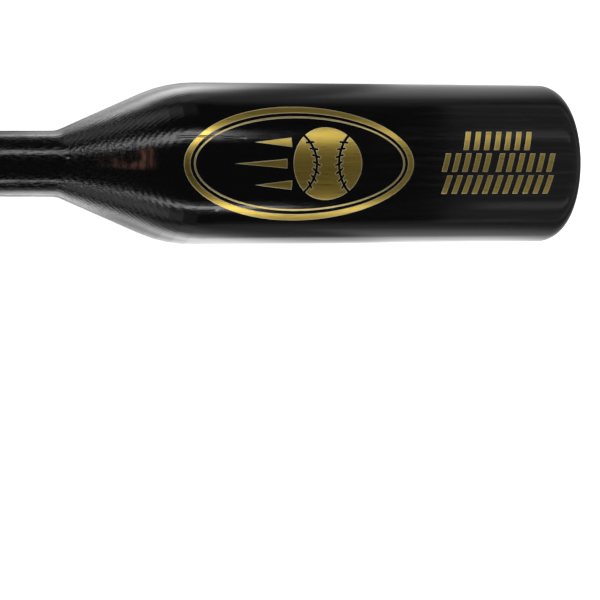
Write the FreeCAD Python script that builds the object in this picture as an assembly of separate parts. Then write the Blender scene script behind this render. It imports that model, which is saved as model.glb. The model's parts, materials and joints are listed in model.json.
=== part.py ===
# One-hand baseball training bat: a short, heavy barrel on a thin handle.
#
# The bat is one piece of maple, turned on a lathe and lacquered black, so its whole shape is a solid of
# revolution. Gold foil graphics are pressed onto the barrel: an oval frame with a flying ball in it, and
# three rows of slanted dashes near the barrel end. Each foil piece is a film of its own.
#
# Frame, in millimetres: the origin is the centre of the knob's end face, +X runs along the bat's axis
# towards the barrel end, +Z points out of the printed side, and +Y is up on the printed graphics.
import FreeCAD, Part
import math
import os

# Driving dimensions of the turned body.
BAT_LENGTH = 558.8
BARREL_RADIUS = 31.75
NECK_RADIUS = 12.7
GRIP_RADIUS = 11.9
KNOB_RADIUS = 24.5

BARREL_RUN = 209.2
SHOULDER_RUN = 44.0
GRIP_CENTRE = 150.0
KNOB_THICKNESS = 16.0
KNOB_FLARE_LENGTH = 16.0
KNOB_FLARE_RADIUS = 13.4

KNOB_FACE_ROUND = 6.0
KNOB_BACK_ROUND = 6.5
KNOB_FLARE_ROUND = 16.0
GRIP_ROUND = 400.0
NECK_ROUND = 9.1
SHOULDER_ROUND = 54.7
BARREL_END_ROUND = 9.2

# Stations along the axis that follow from them.
NECK_X = BAT_LENGTH - BARREL_RUN
SHOULDER_X = NECK_X + SHOULDER_RUN
SHOULDER_SLOPE = math.atan2(BARREL_RADIUS - NECK_RADIUS, SHOULDER_RUN)
BARREL_START_X = SHOULDER_X + SHOULDER_ROUND * math.tan(SHOULDER_SLOPE / 2)

# Foil graphics, as outlines seen from +Z.
FOIL_THICKNESS = 0.1
SKIN_END_X = BAT_LENGTH - BARREL_END_ROUND - 1.0
SKIN_SHOULDER_ANGLE = 0.85 * SHOULDER_SLOPE

OVAL_X = 438.3
OVAL_HALF_WIDTH = 46.4
OVAL_HALF_HEIGHT = 21.9
BAND_WIDTH = 2.4
PINSTRIPE_GAP = 1.3
PINSTRIPE_WIDTH = 0.7

BALL_X = OVAL_X + 11.0
BALL_RADIUS = 14.0
SEAM_RADIUS = 15.0
SEAM_OFFSET = 19.5
SEAM_WIDTH = 1.0
STITCH_LENGTH = 3.6
STITCH_WIDTH = 0.8
STITCH_LEAN = math.radians(62)
STITCHES_PER_SEAM = 7
STITCH_STEP = math.radians(11)

SPEED_LINE_GAP = 2.5
SPEED_LINE_HEIGHT = 3.6
SPEED_LINE_PITCH = 8.2
SPEED_LINE_LENGTHS = {"upper": 15.0, "middle": 21.0, "lower": 15.0}

DASH_ROWS_X = 520.5
DASH_HEIGHT = 7.2
DASH_WIDTH = 2.2
DASH_PITCH = 4.3
DASH_LEAN = 1.9
DASH_WORD_GAP = 3.4
DASH_ROWS = {
    "upper": {"y": 8.9, "words": (7,)},
    "middle": {"y": 0.4, "words": (5, 6)},
    "lower": {"y": -8.2, "words": (11,)},
}


def point(x, y, z=0.0):
    return FreeCAD.Vector(x, y, z)


def rounded_outline(corners):
    """Edges along the corners (x, y, radius), each rounded by a tangent arc of its radius where that isn't 0."""
    points = [point(x, y) for x, y, radius in corners]
    edges = []
    start = points[0]
    for before, corner, after, (x, y, radius) in zip(points, points[1:], points[2:], corners[1:]):
        towards_before = (before - corner).normalize()
        towards_after = (after - corner).normalize()
        half_angle = towards_before.getAngle(towards_after) / 2
        reach = radius / math.tan(half_angle)
        arc_start = corner + towards_before * reach
        arc_end = corner + towards_after * reach
        edges.append(Part.makeLine(start, arc_start))
        if radius > 0:
            bisector = (towards_before + towards_after).normalize()
            arc_middle = corner + bisector * (radius / math.sin(half_angle) - radius)
            edges.append(Part.Arc(arc_start, arc_middle, arc_end).toShape())
        start = arc_end
    edges.append(Part.makeLine(start, points[-1]))
    return edges


def turned(edges, degrees=360.0):
    """The solid that a closed half section in the XY plane sweeps about the X axis."""
    section = Part.Face(Part.Wire(edges))
    return section.revolve(point(0, 0), point(1, 0), degrees)


def bat_body():
    """Knob, handle, neck, shoulder and barrel, turned from one billet."""
    corners = [
        (0.0, 0.0, 0.0),
        (0.0, KNOB_RADIUS, KNOB_FACE_ROUND),
        (KNOB_THICKNESS, KNOB_RADIUS, KNOB_BACK_ROUND),
        (KNOB_THICKNESS + KNOB_FLARE_LENGTH, KNOB_FLARE_RADIUS, KNOB_FLARE_ROUND),
        (GRIP_CENTRE, GRIP_RADIUS, GRIP_ROUND),
        (NECK_X, NECK_RADIUS, NECK_ROUND),
        (SHOULDER_X, BARREL_RADIUS, SHOULDER_ROUND),
        (BAT_LENGTH, BARREL_RADIUS, BARREL_END_ROUND),
        (BAT_LENGTH, 0.0, 0.0),
    ]
    edges = rounded_outline(corners)
    edges.append(Part.makeLine(point(BAT_LENGTH, 0), point(0, 0)))
    return turned(edges)


def shoulder_point(radius, angle):
    """A point on the shoulder's round, at an angle back from where the straight barrel starts."""
    centre_y = BARREL_RADIUS - SHOULDER_ROUND
    return point(BARREL_START_X - radius * math.sin(angle), centre_y + radius * math.cos(angle))


def foil_skin():
    """A film of the foil's thickness over the end of the shoulder and the barrel, on its printed half."""
    inner = SHOULDER_ROUND
    outer = SHOULDER_ROUND + FOIL_THICKNESS
    half = SKIN_SHOULDER_ANGLE / 2
    inner_arc = [shoulder_point(inner, angle) for angle in (SKIN_SHOULDER_ANGLE, half, 0.0)]
    outer_arc = [shoulder_point(outer, angle) for angle in (0.0, half, SKIN_SHOULDER_ANGLE)]
    inner_end = point(SKIN_END_X, BARREL_RADIUS)
    outer_end = point(SKIN_END_X, BARREL_RADIUS + FOIL_THICKNESS)
    edges = [
        Part.Arc(*inner_arc).toShape(),
        Part.makeLine(inner_arc[-1], inner_end),
        Part.makeLine(inner_end, outer_end),
        Part.makeLine(outer_end, outer_arc[0]),
        Part.Arc(*outer_arc).toShape(),
        Part.makeLine(outer_arc[-1], inner_arc[0]),
    ]
    return turned(edges, 180.0)


def oval(shrink):
    """The oval frame's outline as a face, taken in by shrink all round."""
    ellipse = Part.Ellipse(point(OVAL_X, 0), OVAL_HALF_WIDTH - shrink, OVAL_HALF_HEIGHT - shrink)
    return Part.Face(Part.Wire(ellipse.toShape()))


def disc(x, radius):
    return Part.Face(Part.Wire(Part.makeCircle(radius, point(x, 0))))


def polygon(corners):
    points = [point(x, y) for x, y in corners]
    return Part.Face(Part.makePolygon(points + points[:1]))


def band(outer_shrink, width):
    """An oval ring between two outlines of the frame."""
    return oval(outer_shrink).cut(oval(outer_shrink + width))


def stitch(centre_x, centre_y, lean):
    """A short slot through the ball's foil, across a seam."""
    slot = Part.makePlane(STITCH_LENGTH, STITCH_WIDTH, point(-STITCH_LENGTH / 2, -STITCH_WIDTH / 2))
    slot.rotate(point(0, 0), point(0, 0, 1), math.degrees(lean))
    slot.translate(point(centre_x, centre_y))
    return slot


def seam(side):
    """One seam of the ball, on side -1 or +1: a curved gap with stitches across it."""
    seam_x = BALL_X + side * SEAM_OFFSET
    gap = disc(seam_x, SEAM_RADIUS + SEAM_WIDTH / 2).cut(disc(seam_x, SEAM_RADIUS - SEAM_WIDTH / 2))
    slots = []
    for number in range(STITCHES_PER_SEAM):
        along = (number - (STITCHES_PER_SEAM - 1) / 2) * STITCH_STEP
        x = seam_x - side * SEAM_RADIUS * math.cos(along)
        y = SEAM_RADIUS * math.sin(along)
        slots.append(stitch(x, y, side * (math.pi / 2 - STITCH_LEAN) - side * along))
    return gap.fuse(slots)


def ball_panels():
    """The ball's three foil panels, from left to right: the seams part them."""
    panels = disc(BALL_X, BALL_RADIUS).cut([seam(-1), seam(1)])
    return sorted(panels.Faces, key=lambda face: face.CenterOfMass.x)


def speed_line(row, length):
    """A tapering line behind the ball, pointed at its tail: row is 1, 0 or -1."""
    y = row * SPEED_LINE_PITCH
    head_x = BALL_X - math.sqrt((BALL_RADIUS + SPEED_LINE_GAP) ** 2 - y**2)
    half = SPEED_LINE_HEIGHT / 2
    return polygon([(head_x - length, y), (head_x, y - half), (head_x, y + half)])


def dash_row(y, words):
    """A row of slanted dashes about a middle height, in words with a gap between them."""
    word_lengths = [(count - 1) * DASH_PITCH + DASH_WIDTH for count in words]
    row_length = sum(word_lengths) + DASH_WORD_GAP * (len(words) - 1)
    start = DASH_ROWS_X - row_length / 2
    bottom = y - DASH_HEIGHT / 2
    top = y + DASH_HEIGHT / 2
    half_lean = DASH_LEAN / 2
    dashes = []
    for count, word_length in zip(words, word_lengths):
        for number in range(count):
            left = start + number * DASH_PITCH
            right = left + DASH_WIDTH
            corners = [
                (left - half_lean, bottom),
                (right - half_lean, bottom),
                (right + half_lean, top),
                (left + half_lean, top),
            ]
            dashes.append(polygon(corners))
        start += word_length + DASH_WORD_GAP
    return dashes


def foil(skin, outlines):
    """The pieces of foil skin under the outlines, as one compound of separate solids."""
    height = point(0, 0, BARREL_RADIUS + 2 * FOIL_THICKNESS)
    pieces = []
    for outline in outlines:
        pieces.extend(skin.common(outline.extrude(height)).Solids)
    return Part.makeCompound(pieces)


def foil_parts():
    """Every foil node, by name."""
    skin = foil_skin()
    left, middle, right = ball_panels()
    outlines = {
        "oval_band_foil": [band(0.0, BAND_WIDTH)],
        "oval_pinstripe_foil": [band(BAND_WIDTH + PINSTRIPE_GAP, PINSTRIPE_WIDTH)],
        "ball_left_panel_foil": [left],
        "ball_middle_panel_foil": [middle],
        "ball_right_panel_foil": [right],
    }
    for row, (name, length) in zip((1, 0, -1), SPEED_LINE_LENGTHS.items()):
        outlines[f"speed_line_{name}_foil"] = [speed_line(row, length)]
    for name, dashes in DASH_ROWS.items():
        outlines[f"dash_row_{name}_foil"] = dash_row(dashes["y"], dashes["words"])
    return {name: foil(skin, shapes) for name, shapes in outlines.items()}


def main():
    os.makedirs("parts", exist_ok=True)
    parts = {"bat_body": bat_body(), **foil_parts()}
    for name, shape in parts.items():
        shape.exportStep(f"parts/{name}.step")
        print(f"{name}: {len(shape.Solids)} solids, {shape.Volume:.2f} mm3, valid {shape.isValid()}")


main()
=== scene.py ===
# %% [markdown]
# # A one-hand training bat, turned in wood and lacquered black
# The object is a short, heavy baseball bat for training one hand at a time. It is one billet of maple,
# turned on a lathe, so it has no joints and nothing inside. Black lacquer covers it, thin enough for the
# grain and the lathe's marks to show in the gloss, and gold foil is pressed onto the barrel. The CAD
# frame gives every size. This lesson turns a finer body over it, lays real foil on its surface, and
# builds the lacquer and the gold from nodes.

# %% Load the CAD frame
import json
import math

import bmesh
import bpy
from mathutils import Matrix, Vector, noise

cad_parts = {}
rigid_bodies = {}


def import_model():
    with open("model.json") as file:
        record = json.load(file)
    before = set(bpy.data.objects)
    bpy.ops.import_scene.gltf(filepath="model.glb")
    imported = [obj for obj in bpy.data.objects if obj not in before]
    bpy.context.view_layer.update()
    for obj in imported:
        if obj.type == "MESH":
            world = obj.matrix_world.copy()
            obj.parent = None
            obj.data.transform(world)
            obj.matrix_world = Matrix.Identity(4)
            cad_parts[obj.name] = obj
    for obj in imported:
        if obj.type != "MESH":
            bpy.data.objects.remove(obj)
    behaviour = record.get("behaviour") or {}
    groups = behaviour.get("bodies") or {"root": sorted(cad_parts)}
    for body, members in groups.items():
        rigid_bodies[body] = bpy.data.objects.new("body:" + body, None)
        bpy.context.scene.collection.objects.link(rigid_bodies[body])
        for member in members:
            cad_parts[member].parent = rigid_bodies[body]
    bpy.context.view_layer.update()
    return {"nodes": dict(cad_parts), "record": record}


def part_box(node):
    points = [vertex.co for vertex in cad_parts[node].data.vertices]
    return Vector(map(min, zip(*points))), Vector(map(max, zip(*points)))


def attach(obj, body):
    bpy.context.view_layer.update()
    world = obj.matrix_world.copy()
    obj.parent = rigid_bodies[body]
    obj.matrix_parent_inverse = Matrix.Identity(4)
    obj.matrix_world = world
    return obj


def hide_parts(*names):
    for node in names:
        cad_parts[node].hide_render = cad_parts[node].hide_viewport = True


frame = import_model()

record = frame["record"]
print("nodes:", sorted(frame["nodes"]))

# %% [markdown]
# ## Sizes
# The bat lies along X with the centre of its knob's end face at the origin, and its printed side faces
# up, along Z. The length and the barrel's radius come from the frame. The rest are the lathe template's
# few numbers: each corner of the template has a place along the axis, a radius, and the radius of the
# round that softens it.

# %% Sizes of the turned body
MM = 0.001
barrel_mount = next(mount for mount in record["mounts"] if mount["name"] == "barrel")
BARREL_RADIUS = barrel_mount["dims"]["r_mm"] * MM
BAT_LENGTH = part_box("bat_body")[1][0]

NECK_RADIUS = 12.7 * MM
GRIP_RADIUS = 11.9 * MM
KNOB_RADIUS = 24.5 * MM
KNOB_THICKNESS = 16 * MM
KNOB_ROUND = 6.5 * MM
FLARE_LENGTH = 16 * MM
FLARE_RADIUS = 13.4 * MM
GRIP_CENTRE = 150 * MM
NECK_X = BAT_LENGTH - 209.2 * MM
SHOULDER_X = NECK_X + 44 * MM
SHOULDER_ROUND = 54.7 * MM
BARREL_END_ROUND = 9.2 * MM

TEMPLATE = [
    (0, 0, 0),
    (0, KNOB_RADIUS, 6 * MM),
    (KNOB_THICKNESS, KNOB_RADIUS, KNOB_ROUND),
    (KNOB_THICKNESS + FLARE_LENGTH, FLARE_RADIUS, 16 * MM),
    (GRIP_CENTRE, GRIP_RADIUS, 400 * MM),
    (NECK_X, NECK_RADIUS, 9.1 * MM),
    (SHOULDER_X, BARREL_RADIUS, SHOULDER_ROUND),
    (BAT_LENGTH, BARREL_RADIUS, BARREL_END_ROUND),
    (BAT_LENGTH, 0, 0),
]
shoulder_slope = math.atan2(BARREL_RADIUS - NECK_RADIUS, SHOULDER_X - NECK_X)
barrel_start = SHOULDER_X + SHOULDER_ROUND * math.tan(shoulder_slope / 2)
print(f"bat {BAT_LENGTH / MM:.1f} mm long, straight barrel from {barrel_start / MM:.1f} mm")

# %% [markdown]
# ## The camera
# The bat is seen from above, a little from the handle's side, through a long lens that hardly shows
# perspective. The handle runs out of the frame on the left. The camera stands in the plane through the
# bat's axis, so a small tilt places the bat in the upper part of the frame without turning it.

# %% Camera
CAMERA_TARGET_X = 448.6 * MM
CAMERA_DISTANCE = 1188 * MM
CAMERA_TURN = math.radians(18.6)
CAMERA_AIM_BELOW = 54 * MM
CAMERA_LENS = 180

camera = bpy.data.objects.new("camera", bpy.data.cameras.new("camera"))
bpy.context.scene.collection.objects.link(camera)
bpy.context.scene.camera = camera
camera.data.lens = CAMERA_LENS
camera.location = (
    CAMERA_TARGET_X - CAMERA_DISTANCE * math.sin(CAMERA_TURN),
    0,
    CAMERA_DISTANCE * math.cos(CAMERA_TURN),
)


def aimed(place, target, up=Vector((0, 1, 0))):
    """A turn that points an object's -Z from place to target, with its Y as near to up as it can be."""
    back = (Vector(place) - Vector(target)).normalized()
    side = up.cross(back).normalized()
    return Matrix((side, back.cross(side), back)).transposed().to_quaternion()


camera.rotation_mode = "QUATERNION"
camera.rotation_quaternion = aimed(camera.location, (CAMERA_TARGET_X, -CAMERA_AIM_BELOW, 0))
print("camera at", [round(c, 3) for c in camera.location])

# %% [markdown]
# ## Node helpers
# A material is a tree of nodes. Small helpers keep the trees readable: `add` makes a node and fills its
# inputs from numbers or from other nodes, `maths` makes one step of arithmetic, and `total`, `product`,
# `ramp` and `between` name the steps that come back most. `new_group` starts a node group, with its named
# inputs and outputs, for an effect that more than one material uses.


# %% Node helpers
def plug(tree, socket, value):
    """Links a socket to another node's output, or gives it a plain value."""
    if isinstance(value, bpy.types.NodeSocket):
        tree.links.new(value, socket)
    else:
        socket.default_value = value


def add(tree, kind, inputs=None, **settings):
    """Adds a node, with its settings and its inputs."""
    made = tree.nodes.new(kind)
    for name, value in settings.items():
        setattr(made, name, value)
    for name, value in (inputs or {}).items():
        plug(tree, made.inputs[name], value)
    return made


def maths(tree, operation, *terms):
    """One step of arithmetic, and its output."""
    made = add(tree, "ShaderNodeMath", operation=operation)
    for socket, term in zip(made.inputs, terms):
        plug(tree, socket, term)
    return made.outputs[0]


def ramp(tree, value, low, high, to_low=0.0, to_high=1.0):
    """A smooth change from to_low to to_high as value goes from low to high."""
    inputs = {"Value": value, "From Min": low, "From Max": high, "To Min": to_low, "To Max": to_high}
    return add(tree, "ShaderNodeMapRange", inputs, interpolation_type="SMOOTHSTEP").outputs["Result"]


def total(tree, first, *others):
    """The sum of its terms."""
    for term in others:
        first = maths(tree, "ADD", first, term)
    return first


def product(tree, first, *others):
    """Its terms multiplied together."""
    for term in others:
        first = maths(tree, "MULTIPLY", first, term)
    return first


def between(tree, share, at_none, at_full):
    """A straight change from at_none to at_full as share goes from 0 to 1."""
    return maths(tree, "MULTIPLY_ADD", share, at_full - at_none, at_none)


def scaled(tree, place, factors):
    """A place, stretched by a factor along each axis."""
    return add(tree, "ShaderNodeVectorMath", {0: place, 1: factors}, operation="MULTIPLY").outputs[0]


def speckle(tree, place, scale=1.0, detail=2.0, roughness=0.5):
    """A noise from 0 to 1 at a place."""
    inputs = {"Vector": place, "Scale": scale, "Detail": detail, "Roughness": roughness}
    return add(tree, "ShaderNodeTexNoise", inputs).outputs["Fac"]


def mixed(tree, factor, first, second):
    """A colour between two others."""
    made = add(tree, "ShaderNodeMix", data_type="RGBA")
    for socket, value in zip((made.inputs[0], made.inputs[6], made.inputs[7]), (factor, first, second)):
        plug(tree, socket, value)
    return made.outputs[2]


def new_group(name, inputs, outputs):
    """Starts a node group: inputs are (name, kind, value), outputs are names of numbers."""
    group = bpy.data.node_groups.new(name, "ShaderNodeTree")
    for title, kind, value in inputs:
        socket = group.interface.new_socket(title, in_out="INPUT", socket_type=kind)
        if value is not None:
            socket.default_value = value
    for title in outputs:
        group.interface.new_socket(title, in_out="OUTPUT", socket_type="NodeSocketFloat")
    entry = group.nodes.new("NodeGroupInput")
    leave = group.nodes.new("NodeGroupOutput")
    return group, entry.outputs, leave.inputs


def placed(tree, group, **inputs):
    """Places a node group in a material, and returns its outputs. An input's spaces are written as _."""
    made = add(tree, "ShaderNodeGroup", node_tree=group)
    for name, value in inputs.items():
        plug(tree, made.inputs[name.replace("_", " ")], value)
    return made.outputs


# %% [markdown]
# ## Effects that the wood and the foil share
# Maple shows three things through a thin finish. **Pores and fibres** are fine dashes along the bat.
# **Growth rings** are sheaths round the tree's heart, which lies outside the billet, so the lathe cuts
# them into long bands on the barrel and into nested curves on the shoulder's cone. **Turning marks** are
# faint rings left by the tool. A fourth effect, the **hairline**, is a crack or a scratch that wanders
# along the grain. Each is a group that works on a place in millimetres and gives a mask from 0 to 1. The
# foil uses the first and the last as well, because it is pressed down onto the same grain and splits
# along the same crack.


# %% Grain group
def make_grain_group():
    """Dashes along the bat: Pores are short and sharp, Fibres are long and soft."""
    inputs = [
        ("Place", "NodeSocketVector", None),
        ("Length", "NodeSocketFloat", 7.0),
        ("Width", "NodeSocketFloat", 0.5),
    ]
    group, given, result = new_group("grain along the bat", inputs, ["Pores", "Fibres"])
    along = maths(group, "DIVIDE", 1.0, given["Length"])
    across = maths(group, "DIVIDE", 1.0, given["Width"])
    stretch = add(group, "ShaderNodeCombineXYZ", {"X": along, "Y": across, "Z": across}).outputs[0]
    stretched = scaled(group, given["Place"], stretch)
    dashes = speckle(group, stretched, scale=1.0, detail=2.0, roughness=0.6)
    plug(group, result["Pores"], ramp(group, dashes, 0.56, 0.70))
    long_stretch = scaled(group, stretched, (0.3, 0.6, 0.6))
    plug(group, result["Fibres"], speckle(group, long_stretch, scale=1.0, detail=3.0, roughness=0.6))
    return group


# %% Growth ring group
def make_ring_group():
    """Sheaths round a heart line beside the bat: Wave swings from 0 to 1 and back once in each sheath."""
    inputs = [
        ("Place", "NodeSocketVector", None),
        ("Heart", "NodeSocketVector", (0.0, 6.0, -62.0)),
        ("Ring Width", "NodeSocketFloat", 1.0),
        ("Wobble", "NodeSocketFloat", 3.0),
    ]
    group, given, result = new_group("growth rings", inputs, ["Wave"])
    ends = {0: given["Place"], 1: given["Heart"]}
    from_heart = add(group, "ShaderNodeVectorMath", ends, operation="SUBTRACT").outputs[0]
    across = scaled(group, from_heart, (0.02, 1.0, 1.0))
    distance = add(group, "ShaderNodeVectorMath", {0: across}, operation="LENGTH").outputs["Value"]
    bends = speckle(group, scaled(group, given["Place"], (0.012, 0.05, 0.05)), detail=3.0, roughness=0.45)
    bent = maths(group, "MULTIPLY_ADD", maths(group, "SUBTRACT", bends, 0.5), given["Wobble"], distance)
    turns = maths(group, "DIVIDE", bent, given["Ring Width"])
    swing = maths(group, "COSINE", product(group, turns, math.tau))
    plug(group, result["Wave"], maths(group, "MULTIPLY_ADD", swing, 0.5, 0.5))
    return group


# %% Turning mark group
def make_mark_group():
    """Fine rings round the bat where the tool passed, patchy because the sanding took most of them away."""
    inputs = [("Place", "NodeSocketVector", None), ("Pitch", "NodeSocketFloat", 1.4)]
    group, given, result = new_group("turning marks", inputs, ["Marks"])
    along = add(group, "ShaderNodeSeparateXYZ", {0: given["Place"]}).outputs["X"]
    drift = product(group, speckle(group, scaled(group, given["Place"], (0.08, 0.12, 0.12))), 2.2)
    passes = total(group, maths(group, "DIVIDE", along, given["Pitch"]), drift)
    wave = add(group, "ShaderNodeTexNoise", {"W": passes, "Scale": 1.0, "Detail": 2.0}, noise_dimensions="1D")
    patches = speckle(group, scaled(group, given["Place"], (0.05, 0.11, 0.11)), detail=3.0)
    plug(group, result["Marks"], product(group, wave.outputs["Fac"], ramp(group, patches, 0.35, 0.62)))
    return group


# %% Hairline group
def make_hairline_group():
    """A fine line along the grain, Round millimetres round the barrel from the top, drifting by its Lean."""
    inputs = [
        ("Place", "NodeSocketVector", None),
        ("Start", "NodeSocketFloat", 0.0),
        ("Length", "NodeSocketFloat", 10.0),
        ("Round", "NodeSocketFloat", 0.0),
        ("Lean", "NodeSocketFloat", 0.0),
        ("Width", "NodeSocketFloat", 0.4),
    ]
    group, given, result = new_group("hairline", inputs, ["Line"])
    parts = add(group, "ShaderNodeSeparateXYZ", {0: given["Place"]}).outputs
    angle = maths(group, "ARCTAN2", parts["Y"], parts["Z"])
    from_start = maths(group, "SUBTRACT", parts["X"], given["Start"])
    left_over = maths(group, "SUBTRACT", given["Length"], from_start)
    wander = speckle(group, scaled(group, given["Place"], (0.35, 0, 0)), detail=3.0)
    middle = total(group, given["Round"], wander, -0.5, product(group, from_start, given["Lean"]))
    distance = maths(group, "SUBTRACT", product(group, angle, BARREL_RADIUS / MM), middle)
    beside = maths(group, "DIVIDE", maths(group, "ABSOLUTE", distance), given["Width"])
    narrow = ramp(group, beside, 1.0, 0.35)
    line = product(group, narrow, ramp(group, from_start, 0.0, 2.0), ramp(group, left_over, 0.0, 3.0))
    plug(group, result["Line"], line)
    return group


grain_group = make_grain_group()
ring_group = make_ring_group()
mark_group = make_mark_group()
hairline_group = make_hairline_group()
print("groups:", [group.name for group in bpy.data.node_groups])

# %% [markdown]
# ## Black lacquer over turned wood
# The finish is nearly black, with a soft gloss, and its effects change along the bat. On the cone the
# tool cut across the grain, so the rings and the tool's marks stand out and the lacquer is thin. The
# handle is sanded smoother, but it still has a gentle swell. The barrel is the smoothest. So the first
# step is to work out, for any place along the bat, how much of it is cone, how much is handle, and how
# much lies on the neck's side of the shoulder.

# %% Zones along the bat
NECK_MM = NECK_X / MM
SHOULDER_MM = barrel_start / MM
CONE_RISE = (NECK_MM - 10, NECK_MM + 8)
CONE_FALL = (SHOULDER_MM, SHOULDER_MM - 32)
HANDLE_FALL = (NECK_MM + 6, NECK_MM - 6)
NECKWARD_RISE = (SHOULDER_MM - 2, NECK_MM + 8)


def new_material(name):
    """A material, its tree, its Principled shader's inputs, and the place on the surface in millimetres."""
    material = bpy.data.materials.new(name)
    material.use_nodes = True
    tree = material.node_tree
    coordinates = tree.nodes.new("ShaderNodeTexCoord").outputs["Object"]
    place = scaled(tree, coordinates, (1000.0, 1000.0, 1000.0))
    return material, tree, tree.nodes["Principled BSDF"].inputs, place


def zones(tree, along):
    """How much a place belongs to the cone, how much to the handle, and how far it lies towards the neck."""
    on_cone = product(tree, ramp(tree, along, *CONE_RISE), ramp(tree, along, *CONE_FALL))
    on_handle = ramp(tree, along, *HANDLE_FALL)
    towards_neck = ramp(tree, along, *NECKWARD_RISE)
    return on_cone, on_handle, towards_neck


print(f"shoulder's cone from {NECK_MM:.0f} to {SHOULDER_MM:.0f} mm along the bat")

# %% [markdown]
# The colour is black, with faint pale streaks along the grain painted towards the barrel's end as a
# painted sheen. On the cone the red-brown wood shows through in three patches round the bat, each broken
# into streaks.

# %% Colour of the lacquer
LACQUER_BLACK = (0.0006, 0.0006, 0.0007, 1)
# Painted sheen: a paler black for streaks along the grain towards the barrel's end.
LACQUER_SHEEN_STREAK = (0.0034, 0.0034, 0.0037, 1)
WOOD_BROWN = (0.032, 0.0130, 0.0095, 1)
PATCHES_ROUND = 3
PATCHES_TURNED = -0.25
PATCHES_RISE = (359, 371)
PATCHES_FALL = (383.5, 378)
SHEEN_STREAKS_FROM = (440, 525)


def wood_showing(tree, place, along, angle):
    """Where the lacquer is thin enough for the wood's colour."""
    spread = maths(tree, "COSINE", maths(tree, "MULTIPLY_ADD", angle, PATCHES_ROUND, PATCHES_TURNED))
    blotches = speckle(tree, scaled(tree, place, (0.16, 0.12, 0.12)), detail=4.0)
    streaks = speckle(tree, scaled(tree, place, (0.5, 0.08, 0.08)), detail=3.0, roughness=0.7)
    return product(
        tree,
        ramp(tree, blotches, 0.30, 0.52),
        ramp(tree, along, *PATCHES_RISE),
        ramp(tree, along, *PATCHES_FALL),
        ramp(tree, spread, 0.82, 0.98),
        ramp(tree, streaks, 0.38, 0.62, 0.25, 1.0),
    )


def lacquer_colour(tree, place):
    """Black lacquer, with a painted sheen of pale streaks near the barrel's end, over brown wood."""
    parts = add(tree, "ShaderNodeSeparateXYZ", {0: place}).outputs
    angle = maths(tree, "ARCTAN2", parts["Y"], parts["Z"])
    # Painted sheen: pale streaks along the grain near the barrel's end, mixed into the black.
    sheen_streak_noise = speckle(tree, scaled(tree, place, (0.02, 0.45, 0.45)), detail=5.0, roughness=0.7)
    painted_sheen = product(tree, ramp(tree, sheen_streak_noise, 0.46, 0.72), ramp(tree, parts["X"], *SHEEN_STREAKS_FROM))
    black = mixed(tree, painted_sheen, LACQUER_BLACK, LACQUER_SHEEN_STREAK)
    return mixed(tree, wood_showing(tree, place, parts["X"], angle), black, WOOD_BROWN)


# %% [markdown]
# What makes the black read as lacquered wood is its relief: the fibres, the rings and the tool's marks
# rise and sink by hundredths of a millimetre, and the reflections break up over them. The heights are in
# millimetres, they are added together, and the sum feeds one Bump node. From the shoulder to the knob a
# fine stipple also dulls the gloss in spots. A long crack runs with the grain from the shoulder in under
# the foil, and a short scratch lies near the barrel's end.

# %% Gloss and relief of the lacquer
GLOSS_ROUGHNESS = 0.05
FIBRE_ROUGHNESS = 0.05
SPOT_ROUGHNESS = (0.30, 0.20)
PORE_DEPTH = 0.006
FIBRE_HEIGHT = 0.026
GRAIN_SHARE = (0.6, 0.7)
STIPPLE_HEIGHT = (0.058, 0.020)
SWELL_HEIGHT = 0.07
RING_HEIGHT = (0.002, 0.024)
MARK_HEIGHT = (0.001, 0.046)
CRACK_DEPTH = 0.12
SCRATCH_DEPTH = 0.05
LONG_CRACK = {"Start": 389.0, "Length": 28.0, "Round": 11.2, "Lean": -0.05, "Width": 0.6}
SMALL_SCRATCH = {"Start": 542.0, "Length": 6.0, "Round": -43.5, "Lean": 0.35, "Width": 0.35}


def lacquer_height(tree, place, grain, stipple, on_cone, on_handle, towards_neck):
    """The relief's height in millimetres. A pair's second number is for the cone or the handle."""
    rings = placed(tree, ring_group, Place=place)
    marks = placed(tree, mark_group, Place=place, Pitch=0.9)
    swell = speckle(tree, scaled(tree, place, (0.12, 0.28, 0.28)), detail=2.0)
    crack = placed(tree, hairline_group, Place=place, **LONG_CRACK)
    scratch = placed(tree, hairline_group, Place=place, **SMALL_SCRATCH)
    pores = product(tree, grain["Pores"], -PORE_DEPTH)
    fibres = product(tree, grain["Fibres"], FIBRE_HEIGHT)
    return total(
        tree,
        product(tree, total(tree, pores, fibres), between(tree, on_handle, *GRAIN_SHARE)),
        product(tree, swell, on_handle, SWELL_HEIGHT),
        product(tree, stipple, towards_neck, between(tree, on_handle, *STIPPLE_HEIGHT)),
        product(tree, rings["Wave"], between(tree, on_cone, *RING_HEIGHT)),
        product(tree, marks["Marks"], between(tree, on_cone, *MARK_HEIGHT)),
        product(tree, crack["Line"], -CRACK_DEPTH),
        product(tree, scratch["Line"], -SCRATCH_DEPTH),
    )


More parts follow.
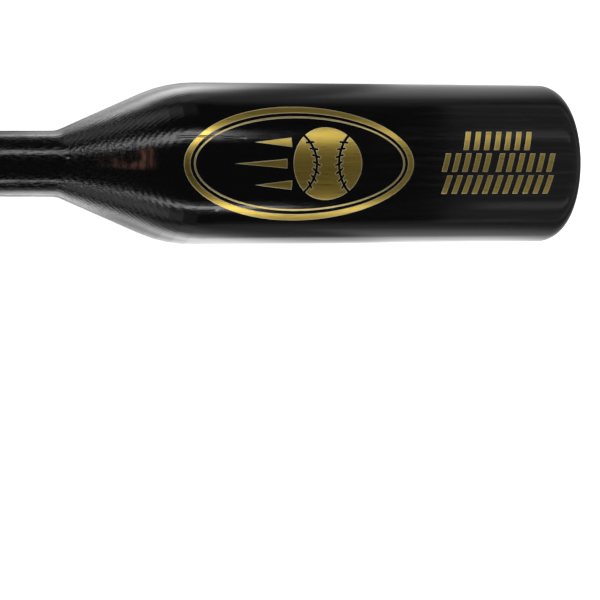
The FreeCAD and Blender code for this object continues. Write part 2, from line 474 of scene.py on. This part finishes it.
def make_lacquer():
    """Black lacquer over turned maple."""
    material, tree, shader, place = new_material("black lacquer over maple")
    along = add(tree, "ShaderNodeSeparateXYZ", {0: place}).outputs["X"]
    on_cone, on_handle, towards_neck = zones(tree, along)
    grain = placed(tree, grain_group, Place=place, Length=5.0, Width=0.42)
    stipple = speckle(tree, scaled(tree, place, (0.42, 1.7, 1.7)), detail=3.0, roughness=0.65)
    plug(tree, shader["Base Color"], lacquer_colour(tree, place))

    spots = product(tree, ramp(tree, stipple, 0.44, 0.60), towards_neck)
    dull = product(tree, spots, between(tree, on_handle, *SPOT_ROUGHNESS))
    fine = product(tree, grain["Fibres"], FIBRE_ROUGHNESS)
    plug(tree, shader["Roughness"], total(tree, fine, GLOSS_ROUGHNESS, dull))

    height = lacquer_height(tree, place, grain, stipple, on_cone, on_handle, towards_neck)
    relief = add(tree, "ShaderNodeBump", {"Strength": 1.0, "Distance": MM, "Height": height})
    plug(tree, shader["Normal"], relief.outputs["Normal"])
    shader["IOR"].default_value = 1.5
    return material


lacquer = make_lacquer()
print(lacquer.name, "has", len(lacquer.node_tree.nodes), "nodes")

# %% [markdown]
# ## Gold foil
# The graphics are stamped: a heated die presses metal foil onto the lacquer. The foil is real metal, so
# it is all reflection, but its surface is not a mirror. It follows the grain beneath and is lightly
# brushed, which spreads the highlights along the bat. A pore under the foil shows as a darker fleck, and
# so does the crack, which splits it. The die presses hardest at its rim, where the foil is matt, and a
# paler gold painted there is a painted highlight for the pale line of light that the edge catches.

# %% Gold foil
GOLD = (0.84, 0.61, 0.13, 1)
GOLD_IN_PORES = (0.34, 0.20, 0.05, 1)
GOLD_RIM_HIGHLIGHT = (1.0, 0.92, 0.62, 1)
FLECK_SHARE = 0.55
RIM_HIGHLIGHT_SHARE = 0.8
BRUSHED_ROUGHNESS = (0.24, 0.40)
RIM_ROUGHNESS = 0.25
FOIL_FIBRE_HEIGHT = 0.005
FOIL_PORE_DEPTH = 0.001
FOIL_CRACK_DEPTH = 0.08


def make_foil():
    """Brushed gold, darker in the pores and the crack, rougher at the rim, with a painted highlight of paler
    gold there.
    """
    material, tree, shader, place = new_material("pressed gold foil")
    grain = placed(tree, grain_group, Place=place, Length=9.0, Width=0.42)
    crack = placed(tree, hairline_group, Place=place, **LONG_CRACK)["Line"]
    rim = add(tree, "ShaderNodeAttribute", attribute_name="rim").outputs["Fac"]

    flecks = maths(tree, "MAXIMUM", product(tree, grain["Pores"], FLECK_SHARE), crack)
    gold = mixed(tree, flecks, GOLD, GOLD_IN_PORES)
    # Painted highlight: the rim's gold is mixed towards a paler gold.
    plug(tree, shader["Base Color"], mixed(tree, product(tree, rim, RIM_HIGHLIGHT_SHARE), gold, GOLD_RIM_HIGHLIGHT))
    brushed = between(tree, grain["Fibres"], *BRUSHED_ROUGHNESS)
    plug(tree, shader["Roughness"], total(tree, brushed, product(tree, rim, RIM_ROUGHNESS)))
    shader["Metallic"].default_value = 1.0

    fibres = product(tree, grain["Fibres"], FOIL_FIBRE_HEIGHT)
    pores = product(tree, grain["Pores"], -FOIL_PORE_DEPTH)
    height = total(tree, fibres, pores, product(tree, crack, -FOIL_CRACK_DEPTH))
    relief = add(tree, "ShaderNodeBump", {"Strength": 1.0, "Distance": MM, "Height": height})
    plug(tree, shader["Normal"], relief.outputs["Normal"])
    return material


foil_gold = make_foil()
print(foil_gold.name, "has", len(foil_gold.node_tree.nodes), "nodes")

# %% [markdown]
# ## Turning the body
# A lathe copies a template, and so does this cell. The pen is one vertex: extruding it draws the
# template's straight runs, and spinning it about a point beside the corner draws each round as a true
# arc. A second spin, about the bat's axis, sweeps the template into the body. Bevelling a corner would be
# quicker, but its curve is only circular at a right angle, and foil a tenth of a millimetre thick has to
# lie on the shoulder without sinking in.

# %% Draw the template
ARC_STEP = math.radians(7)


def draw_round(bm, tip, corner, before, after, radius):
    """Draws the straight run up to a corner and the round in its place, and returns the pen's new tip."""
    arriving = (corner - before).normalized()
    leaving = (after - corner).normalized()
    turn = math.atan2(arriving.cross(leaving).z, arriving.dot(leaving))
    reach = radius * math.tan(abs(turn) / 2)
    tip = bmesh.ops.extrude_vert_indiv(bm, verts=[tip])["verts"][0]
    tip.co = corner - arriving * reach
    if radius == 0:
        return tip
    inward = Vector((-arriving.y, arriving.x, 0)) * math.copysign(1, turn)
    steps = max(4, math.ceil(abs(turn) / ARC_STEP))
    arc = bmesh.ops.spin(
        bm, geom=[tip], cent=tip.co + inward * radius, axis=(0, 0, 1), angle=turn, steps=steps
    )
    return arc["geom_last"][0]


def draw_template(bm):
    """The bat's half outline, as one string of edges from the knob's centre to the barrel end's centre."""
    points = [Vector((x, radius, 0)) for x, radius, rounding in TEMPLATE]
    roundings = [rounding for x, radius, rounding in TEMPLATE]
    tip = bm.verts.new(points[0])
    for before, corner, after, rounding in zip(points, points[1:], points[2:], roundings[1:]):
        tip = draw_round(bm, tip, corner, before, after, rounding)
    last = bmesh.ops.extrude_vert_indiv(bm, verts=[tip])["verts"][0]
    last.co = points[-1]


# %% [markdown]
# The spun surface has to carry the tool's ripples on the cone, which are about a millimetre apart, so the
# template is cut into short steps there and longer ones elsewhere. That keeps the whole piece under
# 200,000 triangles.

# %% Divide and spin
CONE_STEP = 0.36 * MM
PLAIN_STEP = 2.4 * MM
TURNS_ROUND = 208


def divide_template(bm):
    """Cuts the template's edges to a length that suits what they carry."""
    for edge in list(bm.edges):
        middle = (edge.verts[0].co + edge.verts[1].co) / 2
        on_cone = NECK_X - 12 * MM < middle.x < barrel_start
        step = CONE_STEP if on_cone else PLAIN_STEP
        cuts = math.ceil(edge.calc_length() / step) - 1
        if cuts > 0:
            bmesh.ops.subdivide_edges(bm, edges=[edge], cuts=cuts)


def spin_body(bm):
    """Sweeps the template once round the axis and closes it at both poles."""
    outline = list(bm.verts) + list(bm.edges)
    bmesh.ops.spin(
        bm, geom=outline, cent=(0, 0, 0), axis=(1, 0, 0), angle=math.tau, steps=TURNS_ROUND, use_merge=True
    )
    bmesh.ops.remove_doubles(bm, verts=list(bm.verts), dist=1e-7)
    bmesh.ops.recalc_face_normals(bm, faces=list(bm.faces))


body_mesh = bmesh.new()
draw_template(body_mesh)
divide_template(body_mesh)
print("stations along the template:", len(body_mesh.verts))
spin_body(body_mesh)
print("body faces:", len(body_mesh.faces))

# %% [markdown]
# ## What the tool left
# A hand-fed tool leaves the cone slightly rippled, and it tears a few small chips out of the neck, where
# it cuts against the grain. Both are too small to change the bat's size but they break up its highlights,
# so the surface itself is moved, by hundredths of a millimetre. The noise functions have no hidden state,
# so every run is the same.

# %% Ripples and chips
RIPPLE_HEIGHT = 0.014 * MM
RIPPLE_PITCH = 1.5 * MM
RIPPLE_WANDER = 1.5
CHIP_DEPTH = 0.14 * MM
CHIP_LENGTH = 2.2 * MM
CHIP_WIDTH = 0.9 * MM
# Each chip's angle round the neck in radians, its place past the neck in millimetres, and its size.
CHIPS = [
    (0.2, 1.4, 0.8),
    (1.9, -1.0, 1.2),
    (2.8, 0.6, 0.7),
    (3.7, 1.8, 0.9),
    (4.6, -0.4, 1.1),
    (5.6, 0.9, 0.8),
]


def fade(value, low, high):
    """0 at low, 1 at high, with soft ends."""
    t = min(max((value - low) / (high - low), 0), 1)
    return t * t * (3 - 2 * t)


def noise_on(x, outward, along, aside, shift=0):
    """A noise on the surface: along and aside say how fast it changes along the bat and round it."""
    return noise.noise(Vector((x * along, outward.y * aside, outward.z * aside + shift)))


def ripple_at(x, outward):
    """Height of the tool's ripples: rings along the cone, patchy round it."""
    amount = fade(x / MM, *CONE_RISE) * fade(x / MM, *CONE_FALL)
    if amount == 0:
        return 0
    patch = 0.5 + noise_on(x, outward, along=60, aside=1.6)
    wander = noise_on(x, outward, along=25, aside=1.1, shift=7) * RIPPLE_WANDER
    wave = noise.noise(Vector((x / RIPPLE_PITCH + wander, 3.1, 0.7)))
    return RIPPLE_HEIGHT * amount * patch * wave * 2


def chips_at(x, outward):
    """Depth of the chips torn out at the neck."""
    depth = 0
    for angle, shift, size in CHIPS:
        side = outward.angle(Vector((0, math.sin(angle), math.cos(angle)))) * NECK_RADIUS
        along = (x - NECK_X - shift * MM) / (CHIP_LENGTH * size)
        across = side / (CHIP_WIDTH * size)
        depth += fade(math.hypot(along, across), 1, 0.25)
    return CHIP_DEPTH * depth


def leave_tool_marks(bm):
    """Moves the surface by its ripples and chips, straight out from the axis."""
    for vertex in bm.verts:
        outward = Vector((0, vertex.co.y, vertex.co.z))
        if outward.length < GRIP_RADIUS / 2:
            continue
        outward.normalize()
        vertex.co += outward * (ripple_at(vertex.co.x, outward) - chips_at(vertex.co.x, outward))


def finished(bm, name, material, slot, *replaced):
    """Makes a smooth-shaded object of a bmesh, in its material, riding on the bat in place of CAD nodes."""
    mesh = bpy.data.meshes.new(name)
    bm.to_mesh(mesh)
    bm.free()
    mesh.shade_smooth()
    mesh.materials.append(material)
    piece = bpy.data.objects.new(name, mesh)
    bpy.context.scene.collection.objects.link(piece)
    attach(piece, "root")
    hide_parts(*replaced)
    return piece


leave_tool_marks(body_mesh)
turned_body = finished(body_mesh, "turned_body", lacquer, "black_lacquered_wood", "bat_body")
print("turned body:", len(turned_body.data.polygons), "faces")

# %% [markdown]
# ## Laying the foil
# Each CAD foil is a film a tenth of a millimetre thick. Its outline is right, but its face is a few long
# triangles, which would show as flat bands in metal. So a copy of the film's upper face is lifted off and
# pressed flat, like a die cutter's blank. There its triangles are joined, so that nothing is left but the
# outline. A ring can't be one face, so the blank is cut once along the middle first, where the cut
# crosses a ring squarely.

# %% Lift and flatten
FOIL_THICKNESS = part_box("dash_row_middle_foil")[1][2] - BARREL_RADIUS
SHARP_ANGLE = math.radians(25)
SNAP = 0.01 * MM


def surface_radius(x):
    """The turned surface's radius under the foil: the straight barrel, then the shoulder's round."""
    back = max(barrel_start - x, 0)
    return BARREL_RADIUS - SHOULDER_ROUND + math.sqrt(SHOULDER_ROUND**2 - back**2)


def upper_face(node_name):
    """A copy of the upper face of a CAD film, as one merged sheet."""
    sheet = bmesh.new()
    sheet.from_mesh(frame["nodes"][node_name].data)
    bmesh.ops.remove_doubles(sheet, verts=list(sheet.verts), dist=1e-6)
    bmesh.ops.recalc_face_normals(sheet, faces=list(sheet.faces))

    def is_upper(face):
        middle = face.calc_center_median()
        height = math.hypot(middle.y, middle.z) - surface_radius(middle.x)
        return height > FOIL_THICKNESS / 2 and face.normal.z > 0.3

    others = [face for face in sheet.faces if not is_upper(face)]
    bmesh.ops.delete(sheet, geom=others, context="FACES")
    return sheet


def cut_sheet(sheet, place, direction):
    """Cuts the whole sheet along the plane through a place, square to a direction."""
    geometry = list(sheet.verts) + list(sheet.edges) + list(sheet.faces)
    bmesh.ops.bisect_plane(sheet, geom=geometry, plane_co=place, plane_no=direction, dist=SNAP)


def flatten_sheet(sheet):
    """Presses the sheet flat, cuts it once along the middle, and joins all the triangles of each half."""
    for vertex in sheet.verts:
        vertex.co.z = BARREL_RADIUS
    cut_sheet(sheet, (0, 0, 0), (0, 1, 0))
    inner = [edge for edge in sheet.edges if not edge.is_boundary]
    joined = [edge for edge in inner if max(abs(vertex.co.y) for vertex in edge.verts) > SNAP]
    bmesh.ops.dissolve_limit(sheet, angle_limit=SHARP_ANGLE, verts=[], edges=joined)


# %% [markdown]
# The rim is marked on the flat blank, as a narrow band inside the outline. Then the blank is sliced into
# strips less than a millimetre wide, so that it can bend, and every corner is dropped onto the lathe's
# true surface.

# %% Mark, slice and lay
STRIP_WIDTH = 0.85 * MM
RIM_WIDTH = 0.20 * MM


def mark_rim(sheet):
    """Cuts a narrow band inside the sheet's edge, where the die presses hardest, and marks it as the rim."""
    layer = sheet.faces.layers.float.new("rim")
    rim = bmesh.ops.inset_region(
        sheet, faces=list(sheet.faces), thickness=RIM_WIDTH, use_boundary=True, use_even_offset=True
    )
    for face in rim["faces"]:
        face[layer] = 1.0


def spaced(low, high):
    """Places between two ends, a strip's width apart."""
    count = max(math.ceil((high - low) / STRIP_WIDTH), 0)
    return [low + (high - low) * number / count for number in range(1, count)]


def slice_sheet(sheet):
    """Cuts the sheet into narrow strips along the bat, and across it where it lies on the shoulder."""
    low_y = min(vertex.co.y for vertex in sheet.verts)
    high_y = max(vertex.co.y for vertex in sheet.verts)
    low_x = min(vertex.co.x for vertex in sheet.verts)
    cuts = [((0, y, 0), (0, 1, 0)) for y in spaced(low_y, high_y)]
    cuts += [((x, 0, 0), (1, 0, 0)) for x in spaced(low_x, barrel_start)]
    for place, direction in cuts:
        cut_sheet(sheet, place, direction)
    bmesh.ops.dissolve_degenerate(sheet, dist=SNAP, edges=list(sheet.edges))


def lay_sheet(sheet):
    """Drops every vertex onto the turned surface."""
    for vertex in sheet.verts:
        radius = surface_radius(vertex.co.x)
        vertex.co.z = math.sqrt(radius**2 - vertex.co.y**2)


# %% [markdown]
# Last, the sheet gets the foil's thickness, and its upper edge is rolled over with a bevel, as foil is by
# the die, so that the edge catches the light. Edges sharper than 25 degrees stay crisp.

# %% Thicken and finish
EDGE_ROLL = 0.03 * MM


def thicken_sheet(sheet):
    """Gives the sheet the foil's thickness upwards and rolls its upper edge."""
    bmesh.ops.recalc_face_normals(sheet, faces=list(sheet.faces))
    if sum(face.normal.z for face in sheet.faces) < 0:
        bmesh.ops.reverse_faces(sheet, faces=list(sheet.faces))
    raised = bmesh.ops.extrude_face_region(sheet, geom=list(sheet.faces), use_keep_orig=True)
    raised_vertices = [item for item in raised["geom"] if isinstance(item, bmesh.types.BMVert)]
    raised_faces = {item for item in raised["geom"] if isinstance(item, bmesh.types.BMFace)}
    for vertex in raised_vertices:
        outward = Vector((0, vertex.co.y, vertex.co.z)).normalized()
        vertex.co += outward * FOIL_THICKNESS
    bmesh.ops.recalc_face_normals(sheet, faces=list(sheet.faces))
    raised_sides = {edge: sum(face in raised_faces for face in edge.link_faces) for edge in sheet.edges}
    upper_edge = [edge for edge in sheet.edges if len(edge.link_faces) == 2 and raised_sides[edge] == 1]
    bmesh.ops.bevel(
        sheet,
        geom=upper_edge,
        offset=EDGE_ROLL,
        offset_type="OFFSET",
        segments=2,
        profile=0.5,
        affect="EDGES",
        material=-1,
        clamp_overlap=True,
    )


def lay_foil(node_name):
    """One foil piece, from its CAD film."""
    sheet = upper_face(node_name)
    flatten_sheet(sheet)
    mark_rim(sheet)
    slice_sheet(sheet)
    lay_sheet(sheet)
    thicken_sheet(sheet)
    name = node_name.removesuffix("_foil") + "_gold"
    piece = finished(sheet, name, foil_gold, "gold_foil", node_name)
    piece.data.set_sharp_from_angle(angle=SHARP_ANGLE)
    return piece


foil_names = sorted(name for name in frame["nodes"] if name.endswith("_foil"))
foil_pieces = [lay_foil(name) for name in foil_names]
print("foil pieces:", {piece.name: len(piece.data.polygons) for piece in foil_pieces})

# %% [markdown]
# ## The floor
# The bat lies on plain pale paper. It rests on its knob and on the shoulder's end, so the paper is a
# little lower under the barrel: its slope touches both. A polished black bat shows its surroundings more
# than itself. So the paper is painted for the gloss: it is kept dark, as black cards laid round the bat
# would do, with pools of painted glow between them that only the gloss sees. These painted reflections
# draw the bat's edges, and each pool has its own place along the bat and beside it.

# %% Floor
FLOOR_SIZE = 12.0
knob_low = Vector((KNOB_THICKNESS - KNOB_ROUND, 0, -KNOB_RADIUS))
barrel_low = Vector((barrel_start, 0, -BARREL_RADIUS))
floor_slope = math.atan2(knob_low.z - barrel_low.z, barrel_low.x - knob_low.x)


def make_floor():
    """A wide sheet of paper under the bat."""
    bm = bmesh.new()
    bmesh.ops.create_grid(bm, x_segments=8, y_segments=8, size=FLOOR_SIZE / 2)
    bmesh.ops.rotate(bm, verts=list(bm.verts), cent=(0, 0, 0), matrix=Matrix.Rotation(floor_slope, 3, "Y"))
    bmesh.ops.translate(bm, verts=list(bm.verts), vec=barrel_low)
    mesh = bpy.data.meshes.new("paper floor")
    bm.to_mesh(mesh)
    bm.free()
    floor = bpy.data.objects.new("paper_floor", mesh)
    bpy.context.scene.collection.objects.link(floor)
    return floor


floor = make_floor()
print(f"floor slopes {math.degrees(floor_slope):.2f} degrees")

# %% [markdown]
# Close to the bat a painted shadow dims that glow, so the pools beside it fade out just past its edge.
# The wide ones further out paint the barrel's faint grey bands as reflections.

# %% Paper
PAPER_IN_GLOSS = 0.09
PAPER_TONES = (0.80, 0.84)
PAPER_ROUGHNESS = 0.9
BAT_WIDENS = (365, 425)
# Painted shadow round the bat: from the bat's edge outwards in millimetres, then the share of the glow at
# each of the two places.
OUT_OF_PAINTED_SHADOW = (10, 30, 0.06, 1.0)
# From the bat's middle outwards in the same way, for the neck's pool only.
CLOSE_IN = (58, 76, 0.25, 1.0)
# A pool is its brightness on the bat's +Y side and on its -Y side, then three pairs in millimetres: where it
# rises and where it falls along the bat, and where it ends and where it is full beside the bat.
NECK_POOL = (4.6, 2.9, (325, 365), (452, 396), (140, 80))
NEAR_POOLS = [
    (0.75, 0.75, (398, 422), (478, 425), (88, 66)),
    (0.6, 0.6, (-300, 0), (375, 350), (300, 80)),
    (0.0, 2.2, (-300, 0), (375, 350), (90, 50)),
]
WIDE_POOLS = [
    (0.15, 0.15, (390, 440), (700, 570), (640, 300)),
    (0.40, 0.40, (340, 380), (470, 425), (420, 200)),
    (0.6, 0.6, (484, 512), (640, 540), (240, 70)),
    (0.0, 1.2, (380, 420), (600, 540), (86, 70)),
]


def paper_glow(tree, place):
    """The glow painted on the paper for the bat's gloss, dimmed by a painted shadow close to the bat."""
    parts = add(tree, "ShaderNodeSeparateXYZ", {0: place}).outputs
    aside = maths(tree, "ABSOLUTE", parts["Y"])
    lower_side = ramp(tree, parts["Y"], 20.0, -20.0)

    def pool(upper, lower, rise, fall, beside):
        length = product(tree, ramp(tree, parts["X"], *rise), ramp(tree, parts["X"], *fall))
        return product(tree, between(tree, lower_side, upper, lower), length, ramp(tree, aside, *beside))

    bat_edge = ramp(tree, parts["X"], *BAT_WIDENS, NECK_RADIUS / MM, BARREL_RADIUS / MM)
    outside_painted_shadow = ramp(tree, maths(tree, "SUBTRACT", aside, bat_edge), *OUT_OF_PAINTED_SHADOW)
    neck = product(tree, pool(*NECK_POOL), ramp(tree, aside, *CLOSE_IN))
    near = total(tree, neck, *[pool(*numbers) for numbers in NEAR_POOLS])
    wide = [pool(*numbers) for numbers in WIDE_POOLS]
    return total(tree, product(tree, near, outside_painted_shadow), *wide, PAPER_IN_GLOSS)


def make_paper():
    """Pale paper for the camera, and for the bat's gloss dark paper with pools of painted glow."""
    material, tree, shader, place = new_material("pale paper")
    is_gloss = tree.nodes.new("ShaderNodeLightPath").outputs["Is Glossy Ray"]
    fibres = speckle(tree, place, scale=0.8, detail=3.0)
    pale = ramp(tree, fibres, 0.2, 0.8, *PAPER_TONES)
    seen = product(tree, pale, maths(tree, "SUBTRACT", 1.0, is_gloss))
    colour = add(tree, "ShaderNodeCombineColor", {"Red": seen, "Green": seen, "Blue": seen})
    plug(tree, shader["Base Color"], colour.outputs[0])
    shader["Roughness"].default_value = PAPER_ROUGHNESS
    shader["Emission Color"].default_value = (1, 1, 1, 1)
    plug(tree, shader["Emission Strength"], product(tree, paper_glow(tree, place), is_gloss))
    return material


floor.data.materials.append(make_paper())
print(len(NEAR_POOLS) + len(WIDE_POOLS) + 1, "pools on the paper")

# %% [markdown]
# ## Light
# Two long strip lights run beside the bat and draw the bright lines along its handle and shoulder. They
# stand towards the handle, so the lines fade before the barrel's middle, which stays black. The lower one
# has a narrow bright core, which gives the handle its thin line. A pale round board past the barrel's end
# puts a soft grey sheen on that end, and two dim strips beyond it draw a glint above and below. Every
# light is soft, and most strips are two or three lights of different widths, so that their lines have
# soft edges.


# %% Lights
def strip_light(name, middle, target, length, width, radiance):
    """A long soft light, its length along the bat, of an even brightness."""
    data = bpy.data.lights.new(name, "AREA")
    data.shape = "RECTANGLE"
    data.size = length
    data.size_y = width
    data.energy = radiance * math.pi * length * width
    light = bpy.data.objects.new(name, data)
    light.location = middle
    light.rotation_mode = "QUATERNION"
    light.rotation_quaternion = aimed(middle, target)
    light.visible_camera = False
    bpy.context.scene.collection.objects.link(light)
    return light


def beside_bat(angle, distance, x):
    """A place round the bat's axis: the angle is from straight up, towards +Y."""
    return Vector((x, distance * math.sin(math.radians(angle)), distance * math.cos(math.radians(angle))))


def strip(name, angle, distance, start, end, layers):
    """A strip light beside the bat from start to end along it: each layer is a width and a brightness."""
    middle_x = (start + end) / 2
    for number, (width, radiance) in enumerate(layers):
        place = beside_bat(angle, distance - number * 0.01, middle_x)
        strip_light(f"{name} {number}", place, (middle_x, 0, 0), end - start, width, radiance)


strip("upper strip", angle=40.2, distance=1.35, start=-0.52, end=0.822, layers=[(0.44, 0.5), (0.27, 3.5)])
strip("lower strip", angle=-64, distance=1.15, start=-0.40, end=0.80, layers=[(0.34, 0.4), (0.10, 5.0)])
strip("lower strip core", angle=-68, distance=1.14, start=0.45, end=0.735, layers=[(0.045, 20.0)])

BOARD_PLACE = (0.80, 0, 0)
BOARD_TARGET = (0.30, 0, 0)
BOARD_SIZE = 1.58
BOARD_BRIGHTNESS = 0.14
end_board = strip_light("end board", BOARD_PLACE, BOARD_TARGET, BOARD_SIZE, BOARD_SIZE, BOARD_BRIGHTNESS)
end_board.data.shape = "DISK"

GLINT_SPAN = {"distance": 0.705, "start": 0.785, "end": 1.30}
GLINT_BRIGHTNESS = 0.14
upper_layers = [(width, GLINT_BRIGHTNESS) for width in (0.22, 0.15, 0.08)]
lower_layers = [(width, GLINT_BRIGHTNESS) for width in (0.20, 0.13, 0.07)]
strip("end glint upper", angle=42, layers=upper_layers, **GLINT_SPAN)
strip("end glint lower", angle=-63, layers=lower_layers, **GLINT_SPAN)
print("lights:", len(bpy.data.lights))

# %% [markdown]
# Dim upright cards stand beside the neck, for the gloss only. They fade upwards and towards the barrel's
# end, and they round off the shoulder. The sky is pale for the camera and the paper, and nearly dark for
# the gloss.

# %% Side cards
SKY = 2.2
SKY_IN_GLOSS = 0.035
CARD_BRIGHTNESS = 1.0
CARD_DISTANCE = 1.0
CARD_ALONG = (-0.40, 0.70)
CARD_UP = (-0.02, 0.45)
CARD_FADE_ALONG = (620, -150)
CARD_FADE_UP = (440, 160)


def make_card_face():
    """A glow that is strongest low down beside the handle."""
    material, tree, shader, place = new_material("side card")
    parts = add(tree, "ShaderNodeSeparateXYZ", {0: place}).outputs
    soft = product(tree, ramp(tree, parts["X"], *CARD_FADE_ALONG), ramp(tree, parts["Z"], *CARD_FADE_UP))
    shader["Base Color"].default_value = (0, 0, 0, 1)
    shader["Specular IOR Level"].default_value = 0
    shader["Emission Color"].default_value = (1, 1, 1, 1)
    brightness = between(tree, soft, SKY_IN_GLOSS, SKY_IN_GLOSS + CARD_BRIGHTNESS)
    plug(tree, shader["Emission Strength"], brightness)
    return material


def make_side_cards():
    """Two upright cards that only the gloss sees."""
    bm = bmesh.new()
    (start, end), (low, high) = CARD_ALONG, CARD_UP
    for y in (-CARD_DISTANCE, CARD_DISTANCE):
        corners = [(start, y, low), (end, y, low), (end, y, high), (start, y, high)]
        bm.faces.new([bm.verts.new(corner) for corner in corners])
    mesh = bpy.data.meshes.new("side cards")
    bm.to_mesh(mesh)
    bm.free()
    mesh.materials.append(make_card_face())
    cards = bpy.data.objects.new("side_cards", mesh)
    cards.visible_camera = False
    cards.visible_diffuse = False
    cards.visible_shadow = False
    bpy.context.scene.collection.objects.link(cards)


make_side_cards()


# %% Sky
def make_sky():
    """A plain pale surround that the gloss sees as nearly dark."""
    world = bpy.data.worlds.new("studio")
    bpy.context.scene.world = world
    world.use_nodes = True
    tree = world.node_tree
    is_gloss = tree.nodes.new("ShaderNodeLightPath").outputs["Is Glossy Ray"]
    plug(tree, tree.nodes["Background"].inputs["Strength"], between(tree, is_gloss, SKY, SKY_IN_GLOSS))
    tree.nodes["Background"].inputs["Color"].default_value = (1, 1, 1, 1)


make_sky()
bpy.context.scene.view_settings.view_transform = "Standard"
